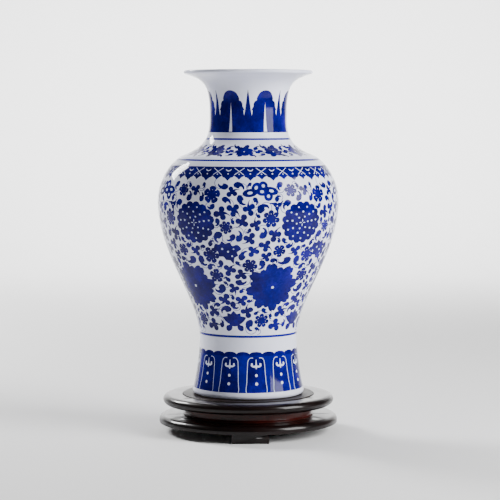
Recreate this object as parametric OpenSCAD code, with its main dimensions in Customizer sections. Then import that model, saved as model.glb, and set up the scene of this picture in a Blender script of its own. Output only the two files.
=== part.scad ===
// Tall porcelain vase with a round shoulder, narrow waist and flaring mouth, standing on
// a two-tier round wooden stand with three block feet. Millimetres, +Z up, ground at z = 0.

/* [Vase] */
// Height of the vase from its foot ring to its lip
vase_h = 350; // [280:1:430]
// Diameter of the belly at its widest
belly_d = 196; // [150:1:240]
// Diameter of the neck where it is narrowest
neck_d = 83.4; // [60:0.1:105]
// Diameter across the lip
mouth_d = 135; // [110:1:165]
// Diameter of the waist, where the lower body is narrowest
waist_d = 105.4; // [90:0.1:135]
// Diameter of the foot where it flares out again
foot_d = 121; // [100:1:150]
// Thickness of the porcelain wall
wall_t = 4.5; // [3:0.1:7]
// Length of the neck's straight bore
neck_bore_l = 24; // [10:1:40]
// Radius of the rounded lip
lip_round = 2; // [1:0.1:3]

/* [Vase foot] */
// Radius of the rounding under the foot
foot_round = 4; // [2:0.5:6]
// Width of the flat foot ring that the vase stands on
foot_ring_w = 5.5; // [3:0.5:10]
// Height of the hollow under the base
base_recess = 9; // [5:0.5:14]
// Thickness of the base
base_t = 6; // [4:0.5:9]

/* [Stand] */
// Diameter of the top tier
top_tier_d = 185.4; // [170:0.1:225]
// Thickness of the top tier
top_tier_t = 11; // [9:0.5:16]
// Diameter of the lower tier
lower_tier_d = 193.8; // [175:0.1:235]
// Thickness of the lower tier
lower_tier_t = 8.5; // [7:0.5:14]
// Diameter of the waist between the two tiers
stand_waist_d = 141.6; // [118:0.1:160]
// Height of the waist between the two tiers
stand_waist_h = 11; // [8:0.5:20]
// Width of the waist's ring
stand_waist_w = 12.8; // [11:0.1:20]
// Reach of the top tier's rounded edge
bullnose_reach = 6.4; // [4:0.1:7]
// Radius of the lower tier's rounded top edge
lower_edge_round = 5.5; // [3:0.1:6]

/* [Seat panel] */
// Diameter of the round seat panel
panel_d = 143.2; // [125:0.1:165]
// Width of the ledge that carries the seat panel
ledge_w = 13.6; // [10:0.1:20]
// Thickness of that ledge
ledge_t = 6; // [5.5:0.1:7]
// How far the seat panel stands above the top tier
panel_rise = 0.8; // [0:0.1:2]
// Width of the batten under the seat panel
batten_w = 16; // [10:1:24]
// Thickness of the batten below the seat panel
batten_t = 4; // [3:0.1:5]
// How far the batten's ends are let into the top tier
batten_housing = 4; // [2:0.5:6]
// Depth of the batten's dovetail in the seat panel
dovetail_t = 2; // [1:0.1:2.5]

/* [Feet] */
// Height of the three feet
foot_h = 10; // [6:0.5:20]
// Width of a foot
foot_w = 39.5; // [30:0.5:50]
// Depth of a foot from its front to its back
foot_depth = 18; // [14:0.5:26]
// Set-back of a foot's front from the edge of the lower tier
foot_setback = 5; // [2:0.5:10]

/* [Joinery] */
// Length of the loose splines that join a tier's segments
spline_l = 24; // [16:1:30]
// Width of the loose splines
spline_w = 14; // [8:1:18]
// Thickness of the loose splines
spline_t = 3; // [2:0.1:4]
// Diameter of the wooden dowels
dowel_d = 5; // [3:0.5:6]
// How deep a dowel sits in each of its two pieces
dowel_depth = 4.5; // [3:0.1:5]
// Clearance for glue round splines, dowels, batten and panel
glue_gap = 0.05; // [0.02:0.01:0.2]

/* [Hidden] */
$fn = 96;
overshoot = 1;  // how far a cutting solid runs past what it cuts

// Colours
porcelain = "lavender";
dark_wood = [0.10, 0.05, 0.04];
waist_wood = [0.26, 0.08, 0.05];
plain_wood = [0.45, 0.28, 0.16];

// Levels of the stand above the ground
lower_tier_z = foot_h;
waist_z = lower_tier_z + lower_tier_t;
top_tier_z = waist_z + stand_waist_h;
top_tier_top = top_tier_z + top_tier_t;
seat_z = top_tier_top + panel_rise;
ledge_z = top_tier_z + ledge_t;

// Radii of the stand
panel_r = panel_d / 2;
waist_outer_r = stand_waist_d / 2;
waist_inner_r = waist_outer_r - stand_waist_w;
waist_middle_r = waist_outer_r - stand_waist_w / 2;
tier_inner_r = min(waist_inner_r, panel_r - ledge_w);  // both tiers are open in the middle
edge_chamfer = 0.6;
panel_round = 0.8;

// Directions round the stand, in degrees from +X
first_foot_turn = -88.6;  // the front foot stands a little to the right of the middle
segment_span = 120;
rim_joint_turn = first_foot_turn + segment_span / 2;
waist_joint_turn = first_foot_turn;
batten_turn = first_foot_turn + 90;
// The waist's dowels stand clear of the splines, and the lower ones clear of the upper ones
upper_dowel_turn = asin((spline_l / 2 + dowel_d) / waist_middle_r);
lower_dowel_turn = asin((spline_l / 2 + 3 * dowel_d) / waist_middle_r);

// Heights on the vase, as shares of its height
waist_level = vase_h * 0.17;
belly_level = vase_h * 0.6;
shoulder_level = vase_h * 0.74;
neck_level = vase_h * 0.875;
shoulder_share = 0.5;  // how far from neck to belly the shoulder's turning point lies

belly_r = belly_d / 2;
neck_r = neck_d / 2;
mouth_r = mouth_d / 2;
vase_waist_r = waist_d / 2;
foot_r = foot_d / 2;

// Slopes of the outline at the section joints, as radius over height
foot_lean = [-0.3, 1];
shoulder_lean = [-1, 0.4];
lip_lean = [1, 0.3];

// ---- Curves in [radius, height] ----

function unit(v) = v / norm(v);

// Turned a quarter turn to the left: from an upward heading, towards the axis
function inward(v) = unit([-v[1], v[0]]);

// A point on the cubic curve from p[0] to p[3] with the handles p[1] and p[2]
function curve_point(p, t) =
    pow(1 - t, 3) * p[0] + 3 * t * pow(1 - t, 2) * p[1] + 3 * t * t * (1 - t) * p[2] + pow(t, 3) * p[3];

// The heading of that curve
function curve_heading(p, t) =
    pow(1 - t, 2) * (p[1] - p[0]) + 2 * t * (1 - t) * (p[2] - p[1]) + t * t * (p[3] - p[2]);

// The curve in steps, set in towards the axis by inset[0] at its start and inset[1] at its end
function curve(p, steps, inset = [0, 0]) = [
    for (i = [0 : steps])
        let (t = i / steps)
        curve_point(p, t) + (inset[0] * (1 - t) + inset[1] * t) * inward(curve_heading(p, t))
];

function arc(centre, r, from, to, steps, r_z = 0) = [
    for (i = [0 : steps])
        let (a = from + (to - from) * i / steps)
        centre + [r * cos(a), (r_z == 0 ? r : r_z) * sin(a)]
];

// The list without its first point, where the stretch before it ends on that point
function rest(list) = [for (i = [1 : len(list) - 1]) list[i]];

function reversed(list) = [for (i = [len(list) - 1 : -1 : 0]) list[i]];

// ---- The vase's outline, from the foot up ----

foot_centre = [foot_r - foot_round, foot_round];
foot_start = foot_centre - foot_round * inward(foot_lean);
waist_point = [vase_waist_r, waist_level];
belly_point = [belly_r, belly_level];
shoulder_point = [neck_r + (belly_r - neck_r) * shoulder_share, shoulder_level];
neck_point = [neck_r, neck_level];
lip_centre = [mouth_r - lip_round, vase_h - lip_round];
lip_start = lip_centre - lip_round * inward(lip_lean);

upright = [0, 1];

// The curve between two points, from the heading it leaves on to the heading it arrives on. Its
// handles are shares of the height between the points, so it keeps its character on a taller vase
function stretch(start, heading, share, end, end_heading, end_share) =
    let (rise = end[1] - start[1])
    [start, start + rise * share * unit(heading), end - rise * end_share * unit(end_heading), end];

foot_curve = stretch(foot_start, foot_lean, 0.25, waist_point, upright, 0.2);
body_curve = stretch(waist_point, upright, 0.3, belly_point, upright, 0.4);
shoulder_curve = stretch(belly_point, upright, 0.45, shoulder_point, shoulder_lean, 0.3);
neck_curve = stretch(shoulder_point, shoulder_lean, 0.65, neck_point, upright, 0.5);
mouth_curve = stretch(neck_point, upright, 0.8, lip_start, lip_lean, 0.45);

even_wall = [wall_t, wall_t];
mouth_wall = [wall_t, 2 * lip_round];  // the wall thins towards the lip

// ---- The vase's sections, luted together with slip before firing ----

module turned(outline) {
    translate([0, 0, seat_z]) rotate_extrude() polygon(outline);
}

module vase_foot() {
    base_top = base_recess + base_t;
    ring_inner_r = foot_r - foot_round - foot_ring_w;
    ring_bevel = 1;
    hollow_round = 2;  // rounding in the corner of the hollow under the base
    hollow_r = ring_inner_r - ring_bevel;
    inside = [
        [vase_waist_r - wall_t, waist_level], [vase_waist_r - wall_t, waist_level * 0.55],
        [vase_waist_r - wall_t / 2, base_top], [vase_waist_r / 2, base_top]
    ];
    color(porcelain) turned(concat(
        [[0, base_recess]],
        arc([hollow_r - hollow_round, base_recess - hollow_round], hollow_round, 90, 0, 5),
        [[hollow_r, ring_bevel], [ring_inner_r, 0]],
        arc(foot_centre, foot_round, -90, atan2(-foot_lean[0], foot_lean[1]), 6),
        rest(curve(foot_curve, 10)),
        curve(inside, 12),
        [[0, base_top]]
    ));
}

module vase_lower_body() {
    color(porcelain) turned(concat(curve(body_curve, 20), reversed(curve(body_curve, 20, even_wall))));
}

module vase_upper_body() {
    color(porcelain) turned(concat(curve(shoulder_curve, 12), reversed(curve(shoulder_curve, 12, even_wall))));
}

// The inside of the neck is trimmed to a true bore of this radius
neck_bore_r = neck_r - wall_t;

// Points of an inside curve that lie outside the straight bore
function clear_of_bore(list) = [for (p = list) if (abs(p[1] - neck_level) > neck_bore_l / 2 + 1) p];

module vase_neck() {
    lip_turn = atan2(lip_lean[1], lip_lean[0]);
    color(porcelain) turned(concat(
        curve(neck_curve, 12),
        rest(curve(mouth_curve, 14)),
        rest(arc(lip_centre, lip_round, lip_turn - 90, lip_turn + 90, 10)),
        rest(clear_of_bore(reversed(curve(mouth_curve, 14, mouth_wall)))),
        [for (side = [1, -1]) [neck_bore_r, neck_level + side * neck_bore_l / 2]],
        clear_of_bore(reversed(curve(neck_curve, 12, even_wall)))
    ));
}

// ---- Joinery that two pieces share ----

// Puts children at the same place in each third of the stand
module each_third(turn) {
    for (i = [0 : 2]) rotate([0, 0, turn + segment_span * i]) children();
}

module splines(z, r, gap) {
    each_third(rim_joint_turn)
        translate([r, 0, z])
            cube([spline_w + 2 * gap, spline_l + 2 * gap, spline_t + 2 * gap], center = true);
}

top_spline_z = top_tier_z + ledge_t / 2;
top_spline_r = (tier_inner_r + top_tier_d / 2) / 2;
lower_spline_z = lower_tier_z + lower_tier_t / 2;
lower_spline_r = (tier_inner_r + lower_tier_d / 2) / 2;

module dowel(gap) {
    cylinder(d = dowel_d + 2 * gap, h = 2 * (dowel_depth + gap), center = true);
}

// Dowels round the waist's ring at height z, to each side of every rim joint
module waist_dowels(z, turn, gap) {
    for (side = [-1, 1])
        each_third(rim_joint_turn + side * turn)
            translate([waist_middle_r, 0, z])
                dowel(gap);
}

module upper_dowels(gap) {
    waist_dowels(top_tier_z, upper_dowel_turn, gap);
}

module lower_dowels(gap) {
    waist_dowels(waist_z, lower_dowel_turn, gap);
}

foot_front_r = lower_tier_d / 2 - foot_setback;
foot_middle_r = foot_front_r - foot_depth / 2;

module dowels_in_feet(gap) {
    each_third(first_foot_turn)
        for (side = [-1, 1])
            translate([foot_middle_r, side * foot_w / 4, lower_tier_z])
                dowel(gap);
}

// Places an outline across the seat panel, drawn with its middle at x = 0 and the ledge at y = 0
module across_panel(length) {
    rotate([0, 0, batten_turn])
        translate([0, 0, ledge_z])
            rotate([90, 0, 90])
                linear_extrude(length, center = true)
                    children();
}

// The batten's dovetail, from low up into the seat panel
module dovetail(low, gap) {
    neck = batten_w / 4 + gap;
    top = neck + dovetail_t / 2;
    polygon([
        [-neck, low], [neck, low], [neck, 0], [top, dovetail_t + gap], [-top, dovetail_t + gap], [-neck, 0]
    ]);
}

batten_l = 2 * (tier_inner_r + batten_housing);

// ---- The stand's pieces, from the top down ----

module seat_panel() {
    r = panel_r - glue_gap;
    color(dark_wood) difference() {
        rotate_extrude() polygon(concat(
            [[0, ledge_z], [r, ledge_z]],
            arc([r - panel_round, seat_z - panel_round], panel_round, 0, 90, 5),
            [[0, seat_z]]
        ));
        across_panel(panel_d + 2 * overshoot) dovetail(-overshoot, glue_gap);
    }
}

module panel_batten() {
    color(plain_wood) across_panel(batten_l) {
        translate([-batten_w / 2, -batten_t]) square([batten_w, batten_t]);
        dovetail(-batten_t / 2, 0);
    }
}

// One third of a ring, from the joint at turn to the next one
module ring_third(turn, outline) {
    rotate([0, 0, turn]) rotate_extrude(angle = segment_span) polygon(outline);
}

module top_rim_segment(i) {
    r = top_tier_d / 2;
    middle_z = top_tier_z + top_tier_t / 2;
    color(dark_wood) difference() {
        ring_third(rim_joint_turn + segment_span * i, concat(
            [[tier_inner_r, top_tier_z]],
            arc([r - bullnose_reach, middle_z], bullnose_reach, -90, 90, 14, top_tier_t / 2),
            [[panel_r, top_tier_top], [panel_r, ledge_z], [tier_inner_r, ledge_z]]
        ));
        splines(top_spline_z, top_spline_r, glue_gap);
        upper_dowels(glue_gap);
        across_panel(batten_l + 2 * glue_gap)
            translate([-batten_w / 2 - glue_gap, -batten_t - glue_gap])
                square([batten_w + 2 * glue_gap, batten_t + glue_gap + overshoot]);
    }
}

module top_rim_splines() {
    color(plain_wood) splines(top_spline_z, top_spline_r, 0);
}

module waist_segment(i) {
    color(waist_wood) difference() {
        ring_third(waist_joint_turn + segment_span * i, [
            [waist_inner_r, waist_z], [waist_outer_r, waist_z],
            [waist_outer_r, top_tier_z], [waist_inner_r, top_tier_z]
        ]);
        upper_dowels(glue_gap);
        lower_dowels(glue_gap);
    }
}

module upper_waist_dowels() {
    color(plain_wood) upper_dowels(0);
}

module lower_waist_dowels() {
    color(plain_wood) lower_dowels(0);
}

module lower_rim_segment(i) {
    r = lower_tier_d / 2;
    color(dark_wood) difference() {
        ring_third(rim_joint_turn + segment_span * i, concat(
            [[tier_inner_r, lower_tier_z], [r - edge_chamfer, lower_tier_z], [r, lower_tier_z + edge_chamfer]],
            arc([r - lower_edge_round, waist_z - lower_edge_round], lower_edge_round, 0, 90, 10),
            [[tier_inner_r, waist_z]]
        ));
        splines(lower_spline_z, lower_spline_r, glue_gap);
        lower_dowels(glue_gap);
        dowels_in_feet(glue_gap);
    }
}

module lower_rim_splines() {
    color(plain_wood) splines(lower_spline_z, lower_spline_r, 0);
}

module stand_foot(i) {
    color(dark_wood) difference() {
        rotate([0, 0, first_foot_turn + segment_span * i])
            translate([foot_front_r - foot_depth, -foot_w / 2, 0])
                cube([foot_depth, foot_w, foot_h]);
        dowels_in_feet(glue_gap);
    }
}

module stand_foot_dowels() {
    color(plain_wood) dowels_in_feet(0);
}

vase_foot();
vase_lower_body();
vase_upper_body();
vase_neck();
seat_panel();
panel_batten();
top_rim_segment(0);  // top_rim_segment_1
top_rim_segment(1);  // top_rim_segment_2
top_rim_segment(2);  // top_rim_segment_3
top_rim_splines();
waist_segment(0);  // waist_segment_1
waist_segment(1);  // waist_segment_2
waist_segment(2);  // waist_segment_3
upper_waist_dowels();
lower_waist_dowels();
lower_rim_segment(0);  // lower_rim_segment_1
lower_rim_segment(1);  // lower_rim_segment_2
lower_rim_segment(2);  // lower_rim_segment_3
lower_rim_splines();
stand_foot(0);  // stand_foot_1
stand_foot(1);  // stand_foot_2
stand_foot(2);  // stand_foot_3
stand_foot_dowels();
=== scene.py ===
import math
import random

import bmesh
import bpy
import numpy as np
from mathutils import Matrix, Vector, kdtree
from mathutils.geometry import delaunay_2d_cdt


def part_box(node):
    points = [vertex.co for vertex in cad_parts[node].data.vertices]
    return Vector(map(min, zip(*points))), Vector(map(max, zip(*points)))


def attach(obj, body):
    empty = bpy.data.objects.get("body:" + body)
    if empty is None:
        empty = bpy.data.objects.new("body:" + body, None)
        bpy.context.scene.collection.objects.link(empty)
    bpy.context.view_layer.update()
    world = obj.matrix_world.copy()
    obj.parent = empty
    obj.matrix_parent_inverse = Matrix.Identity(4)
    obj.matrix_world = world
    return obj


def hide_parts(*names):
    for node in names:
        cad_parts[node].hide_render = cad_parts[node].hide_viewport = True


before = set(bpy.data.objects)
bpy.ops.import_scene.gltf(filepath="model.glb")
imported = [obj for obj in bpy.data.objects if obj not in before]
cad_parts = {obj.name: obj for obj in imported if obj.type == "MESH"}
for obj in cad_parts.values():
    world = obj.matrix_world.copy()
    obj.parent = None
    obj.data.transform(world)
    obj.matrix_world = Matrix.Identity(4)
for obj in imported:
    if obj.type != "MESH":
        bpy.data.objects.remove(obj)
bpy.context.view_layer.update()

# ---------------------------------------------------------------------------
# Block feet. Three small hardwood blocks, dowelled and glued under the lower
# tier. Each is sawn square, has its arrises rubbed off, and is stained
# near-black and lacquered with the rest of the stand.

mm = 0.001


def shader_tree(name):
    """A new material with its Principled shader, and a maker of nodes in its tree."""
    material = bpy.data.materials.new(name)
    material.use_nodes = True
    nodes = material.node_tree.nodes
    shader = nodes["Principled BSDF"]

    def make(kind, **settings):
        made = nodes.new(kind)
        for key, value in settings.items():
            if key in made.inputs:
                made.inputs[key].default_value = value
            else:
                setattr(made, key, value)
        return made

    return material, shader, make, material.node_tree.links.new


def ramp(make, link, source, stops):
    """Colours along a factor, as (place, colour) stops."""
    made = make("ShaderNodeValToRGB")
    elements = made.color_ramp.elements
    while len(elements) < len(stops):
        elements.new(0.5)
    for element, (place, colour) in zip(elements, stops):
        element.position = place
        element.color = (*colour, 1)
    link(source, made.inputs["Fac"])
    return made.outputs["Color"]


def stained_wood(name, dark, light, gloss, coat):
    """Straight-grained hardwood with open pores under a stain and a rubbed lacquer."""
    material, shader, make, link = shader_tree(name)
    place = make("ShaderNodeTexCoord").outputs["Object"]
    stretched = make("ShaderNodeMapping", Scale=(60, 900, 500))
    link(place, stretched.inputs["Vector"])
    grain = make("ShaderNodeTexNoise", Scale=1.0, Detail=6.0, Roughness=0.6, Distortion=0.4)
    link(stretched.outputs["Vector"], grain.inputs["Vector"])
    cloud = make("ShaderNodeTexNoise", Scale=28.0, Detail=3.0)
    link(place, cloud.inputs["Vector"])
    mixed = make("ShaderNodeMath", operation="MULTIPLY_ADD")
    link(grain.outputs["Fac"], mixed.inputs[0])
    mixed.inputs[1].default_value = 0.7
    link(cloud.outputs["Fac"], mixed.inputs[2])
    middle = [(a + b) / 2 for a, b in zip(dark, light)]
    stops = [(0.45, dark), (0.85, middle), (1.05, light)]
    link(ramp(make, link, mixed.outputs["Value"], stops), shader.inputs["Base Color"])
    rub = make("ShaderNodeMapRange")
    rub.inputs["To Min"].default_value = gloss
    rub.inputs["To Max"].default_value = gloss + 0.14
    link(cloud.outputs["Fac"], rub.inputs["Value"])
    link(rub.outputs["Result"], shader.inputs["Roughness"])
    bump = make("ShaderNodeBump", Strength=0.12, Distance=0.0002)
    link(grain.outputs["Fac"], bump.inputs["Height"])
    link(bump.outputs["Normal"], shader.inputs["Normal"])
    shader.inputs["Specular IOR Level"].default_value = 0.1 if coat else 0.3
    shader.inputs["Coat Weight"].default_value = coat
    shader.inputs["Coat Roughness"].default_value = 0.06
    return material


dark_lacquer = stained_wood(
    "dark_lacquered_wood", (0.0008, 0.0004, 0.0004), (0.006, 0.0018, 0.0015), 0.24, 0.3)
rubbed_lacquer = stained_wood(
    "rubbed_lacquered_wood", (0.001, 0.0005, 0.0005), (0.010, 0.0035, 0.003), 0.42, 0.08)


def show(name, mesh, body, materials=(), replaced=()):
    """Puts a finished mesh in the scene as a piece that rides on a body."""
    piece = bpy.data.objects.new(name, mesh)
    bpy.context.scene.collection.objects.link(piece)
    for material in materials:
        mesh.materials.append(material)
    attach(piece, body)
    if replaced:
        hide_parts(*replaced)
    return piece


def solid_copy(node_name):
    """The CAD node's surface as a bmesh with its loose triangles joined."""
    solid = bmesh.new()
    solid.from_mesh(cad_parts[node_name].data)
    bmesh.ops.remove_doubles(solid, verts=solid.verts, dist=0.001 * mm)
    return solid


foot_names = ["stand_foot_1", "stand_foot_2", "stand_foot_3"]
arris = 0.5 * mm
for foot_name in foot_names:
    block = solid_copy(foot_name)
    bmesh.ops.dissolve_limit(block, angle_limit=math.radians(2), verts=block.verts, edges=block.edges)
    sharp = [e for e in block.edges if e.calc_length() > 9 * mm and e.is_manifold]
    bmesh.ops.bevel(block, geom=sharp, offset=arris, segments=3, affect="EDGES", clamp_overlap=True)
    bmesh.ops.triangulate(block, faces=block.faces)
    foot_mesh = bpy.data.meshes.new(foot_name + "_rounded")
    block.to_mesh(foot_mesh)
    foot_mesh.shade_smooth()
    foot_mesh.set_sharp_from_angle(angle=math.radians(40))
    show(foot_name + "_rounded", foot_mesh, "stand", [dark_lacquer], [foot_name])

# ---------------------------------------------------------------------------
# Lower tier. A broad ring of three curved segments, butted on loose splines,
# glued, then turned on a faceplate: flat below, with a rounded upper edge.

red_stain = stained_wood("red_brown_wood", (0.012, 0.0015, 0.001), (0.07, 0.007, 0.004), 0.32, 0.25)
bare_wood = stained_wood("plain_wood", (0.20, 0.10, 0.045), (0.48, 0.29, 0.15), 0.55, 0.0)


def geometry_tree(name, sockets):
    """A Geometry Nodes tree with a geometry input and output and the named inputs."""
    tree = bpy.data.node_groups.new(name, "GeometryNodeTree")
    tree.interface.new_socket("Geometry", in_out="INPUT", socket_type="NodeSocketGeometry")
    for socket, kind in sockets.items():
        tree.interface.new_socket(socket, in_out="INPUT", socket_type=kind)
    tree.interface.new_socket("Geometry", in_out="OUTPUT", socket_type="NodeSocketGeometry")

    def make(kind, **settings):
        made = tree.nodes.new(kind)
        for key, value in settings.items():
            setattr(made, key, value)
        return made

    def maths(operation, first, second):
        made = make("ShaderNodeMath", operation=operation)
        for socket, value in zip(made.inputs, (first, second)):
            if isinstance(value, (int, float)):
                socket.default_value = value
            else:
                tree.links.new(value, socket)
        return made.outputs[0]

    given = make("NodeGroupInput").outputs
    result = make("NodeGroupOutput").inputs["Geometry"]
    return tree, make, maths, given, result


def grown(base, tree, **values):
    """The plain mesh that a tree makes from a base mesh, with its inputs set by identifier."""
    holder = bpy.data.objects.new("holder", base)
    bpy.context.scene.collection.objects.link(holder)
    modifier = holder.modifiers.new("tree", "NODES")
    modifier.node_group = tree
    for socket in tree.interface.items_tree:
        key = socket.name.replace(" ", "_").lower()
        if socket.in_out == "INPUT" and key in values:
            modifier[socket.identifier] = values[key]
    bpy.context.view_layer.update()
    depsgraph = bpy.context.evaluated_depsgraph_get()
    made = bpy.data.meshes.new_from_object(holder.evaluated_get(depsgraph))
    holder.modifiers.clear()
    bpy.data.objects.remove(holder)
    return made


def turning_tree():
    """Revolves an outline, a row of vertices at (radius, 0, height), about +Z."""
    tree, make, maths, given, result = geometry_tree("turning", {
        "Steps": "NodeSocketInt", "Start": "NodeSocketFloat", "Sweep": "NodeSocketFloat",
        "Finish": "NodeSocketMaterial",
    })
    link = tree.links.new
    count = make("GeometryNodeAttributeDomainSize", component="MESH")
    link(given["Geometry"], count.inputs["Geometry"])
    rows = maths("ADD", given["Steps"], 1)
    grid = make("GeometryNodeMeshGrid")
    link(count.outputs["Point Count"], grid.inputs["Vertices X"])
    link(rows, grid.inputs["Vertices Y"])
    index = make("GeometryNodeInputIndex").outputs["Index"]
    along = maths("FLOOR", maths("DIVIDE", maths("ADD", index, 0.5), rows), 0)
    round_by = maths("SUBTRACT", index, maths("MULTIPLY", along, rows))
    sample = make("GeometryNodeSampleIndex", data_type="FLOAT_VECTOR", domain="POINT")
    link(given["Geometry"], sample.inputs["Geometry"])
    link(make("GeometryNodeInputPosition").outputs["Position"], sample.inputs["Value"])
    link(along, sample.inputs["Index"])
    parts = make("ShaderNodeSeparateXYZ")
    link(sample.outputs["Value"], parts.inputs["Vector"])
    swept = maths("DIVIDE", maths("MULTIPLY", given["Sweep"], round_by), given["Steps"])
    angle = maths("ADD", given["Start"], swept)
    place = make("ShaderNodeCombineXYZ")
    link(maths("MULTIPLY", parts.outputs["X"], maths("COSINE", angle, 0)), place.inputs["X"])
    link(maths("MULTIPLY", parts.outputs["X"], maths("SINE", angle, 0)), place.inputs["Y"])
    link(parts.outputs["Z"], place.inputs["Z"])
    put = make("GeometryNodeSetPosition")
    link(grid.outputs["Mesh"], put.inputs["Geometry"])
    link(place.outputs["Vector"], put.inputs["Position"])
    merged = make("GeometryNodeMergeByDistance")
    merged.inputs["Distance"].default_value = 0.002 * mm
    link(put.outputs["Geometry"], merged.inputs["Geometry"])
    realized = make("GeometryNodeRealizeInstances")
    link(merged.outputs["Geometry"], realized.inputs["Geometry"])
    finish = make("GeometryNodeSetMaterial")
    link(realized.outputs["Geometry"], finish.inputs["Geometry"])
    link(given["Finish"], finish.inputs["Material"])
    link(finish.outputs["Geometry"], result)
    return tree


turning = turning_tree()


def outline_mesh(points):
    """A row of vertices at (radius, height), which the trees read in order."""
    mesh = bpy.data.meshes.new("outline")
    rows = [(radius, 0, height) for radius, height in points]
    mesh.from_pydata(rows, [(i, i + 1) for i in range(len(rows) - 1)], [])
    return mesh


def turned(points, steps, material, start=0.0, sweep=2 * math.pi):
    """A turned solid or, for less than a full turn, a segment with its two end faces."""
    mesh = grown(outline_mesh(points), turning, steps=steps, start=start, sweep=sweep, finish=material)
    solid = bmesh.new()
    solid.from_mesh(mesh)
    open_edges = [e for e in solid.edges if e.is_boundary]
    if open_edges:
        bmesh.ops.holes_fill(solid, edges=open_edges, sides=0)
    bmesh.ops.recalc_face_normals(solid, faces=solid.faces)
    solid.to_mesh(mesh)
    mesh.shade_smooth()
    mesh.set_sharp_from_angle(angle=math.radians(32))
    return mesh


def arc(centre, radius, start, end, steps, height_radius=None):
    """Points on a round or, with a second radius, an oval arc, between two angles in degrees."""
    high = height_radius or radius
    turns = [math.radians(start + (end - start) * i / steps) for i in range(steps + 1)]
    return [(centre[0] + radius * math.cos(a), centre[1] + high * math.sin(a)) for a in turns]


def ring_reach(node_name):
    """Inner and outer radius of a CAD piece about the axis."""
    radii = [math.hypot(v.co.x, v.co.y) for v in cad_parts[node_name].data.vertices]
    return min(radii), max(radii)


def let_in(piece, node_names):
    """Cuts the mortises and holes that the hidden splines, dowels and batten sit in."""
    for node_name in node_names:
        cutter_mesh = bpy.data.meshes.new("cutter")
        solid_copy(node_name).to_mesh(cutter_mesh)
        cutter = bpy.data.objects.new("cutter", cutter_mesh)
        bpy.context.scene.collection.objects.link(cutter)
        cut = piece.modifiers.new("mortise", "BOOLEAN")
        cut.operation = "DIFFERENCE"
        cut.solver = "EXACT"
        cut.object = cutter
        bpy.context.view_layer.update()
        depsgraph = bpy.context.evaluated_depsgraph_get()
        mesh = bpy.data.meshes.new_from_object(piece.evaluated_get(depsgraph))
        piece.modifiers.clear()
        piece.data = mesh
        bpy.data.objects.remove(cutter)


def tier_segments(prefix, outline, material, mortises, first_joint):
    """The three segments of a tier, each turned over a third and cut for its joinery."""
    for third in range(3):
        name = f"{prefix}_segment_{third + 1}"
        start = math.radians(first_joint + 120 * third)
        mesh = turned(outline + outline[:1], 60, material, start, math.radians(120))
        piece = show(name + "_turned", mesh, "stand", replaced=[name])
        let_in(piece, mortises)
        piece.data.set_sharp_from_angle(angle=math.radians(32))


first_foot_turn = -88.6
rim_joint_turn = first_foot_turn + 60
inner_r, lower_r = ring_reach("lower_rim_segment_1")
lower_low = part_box("lower_rim_segment_1")[0].z
lower_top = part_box("lower_rim_segment_1")[1].z
lower_round = 5.5 * mm
chamfer = 0.6 * mm
rub = 0.3 * mm
lower_outline = [
    (inner_r, lower_low), (lower_r - chamfer, lower_low), (lower_r, lower_low + chamfer),
    *arc((lower_r - lower_round, lower_top - lower_round), lower_round, 0, 90, 16),
    (inner_r + rub, lower_top), (inner_r, lower_top - rub),
]
tier_segments("lower_rim", lower_outline, dark_lacquer,
              ["lower_rim_splines", "lower_waist_dowels", "stand_foot_dowels"], rim_joint_turn)

# ---------------------------------------------------------------------------
# Waist. A plain ring of three red-brown segments between the tiers, dowelled
# up and down. It sits back in the shadow of the top tier.

waist_in, waist_r = ring_reach("waist_segment_1")
waist_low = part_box("waist_segment_1")[0].z
waist_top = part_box("waist_segment_1")[1].z
cove = 1.6 * mm
waist_outline = [
    (waist_in, waist_low), (waist_r, waist_low), (waist_r, waist_low + 1 * mm),
    *arc((waist_r, waist_low + 1 * mm + cove), cove, 270, 180, 6)[1:],
    *arc((waist_r, waist_top - 1 * mm - cove), cove, 180, 90, 6),
    (waist_r, waist_top), (waist_in, waist_top),
]
tier_segments("waist", waist_outline, red_stain,
              ["upper_waist_dowels", "lower_waist_dowels"], first_foot_turn)

# ---------------------------------------------------------------------------
# Top tier. Three segments like the lower tier's, turned to a full bullnose
# outside and rebated inside for the seat panel, with slots for the batten.

ledge_r, top_r = ring_reach("top_rim_segment_1")
top_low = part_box("top_rim_segment_1")[0].z
top_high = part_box("top_rim_segment_1")[1].z
panel_low, panel_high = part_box("seat_panel")[0].z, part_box("seat_panel")[1].z
panel_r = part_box("seat_panel")[1].x + 0.05 * mm
bullnose = 6.4 * mm
top_outline = [
    (ledge_r, top_low),
    *arc((top_r - bullnose, (top_low + top_high) / 2), bullnose, -90, 90, 24, (top_high - top_low) / 2),
    (panel_r + rub, top_high), (panel_r, top_high - rub), (panel_r, panel_low), (ledge_r, panel_low),
]
tier_segments("top_rim", top_outline, dark_lacquer,
              ["top_rim_splines", "upper_waist_dowels", "panel_batten"], rim_joint_turn)

# ---------------------------------------------------------------------------
# Seat panel. A turned disc let into the top tier, a little proud of it, free
# to move with the seasons on a dovetailed batten.

panel_round = 0.8 * mm
panel_edge = panel_r - 0.05 * mm
panel_outline = [
    (0, panel_low), (panel_edge - rub, panel_low), (panel_edge, panel_low + rub),
    *arc((panel_edge - panel_round, panel_high - panel_round), panel_round, 0, 90, 8),
    (0, panel_high),
]
panel = show("seat_panel_turned", turned(panel_outline, 180, rubbed_lacquer), "stand",
             replaced=["seat_panel"])
let_in(panel, ["panel_batten"])
panel.data.set_sharp_from_angle(angle=math.radians(32))

# Splines, dowels and batten: straight-grained bare wood, glued in before turning.
for hidden in ("panel_batten", "top_rim_splines", "lower_rim_splines",
               "upper_waist_dowels", "lower_waist_dowels", "stand_foot_dowels"):
    hidden_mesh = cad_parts[hidden].data
    hidden_mesh.materials.clear()
    hidden_mesh.materials.append(bare_wood)

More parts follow.
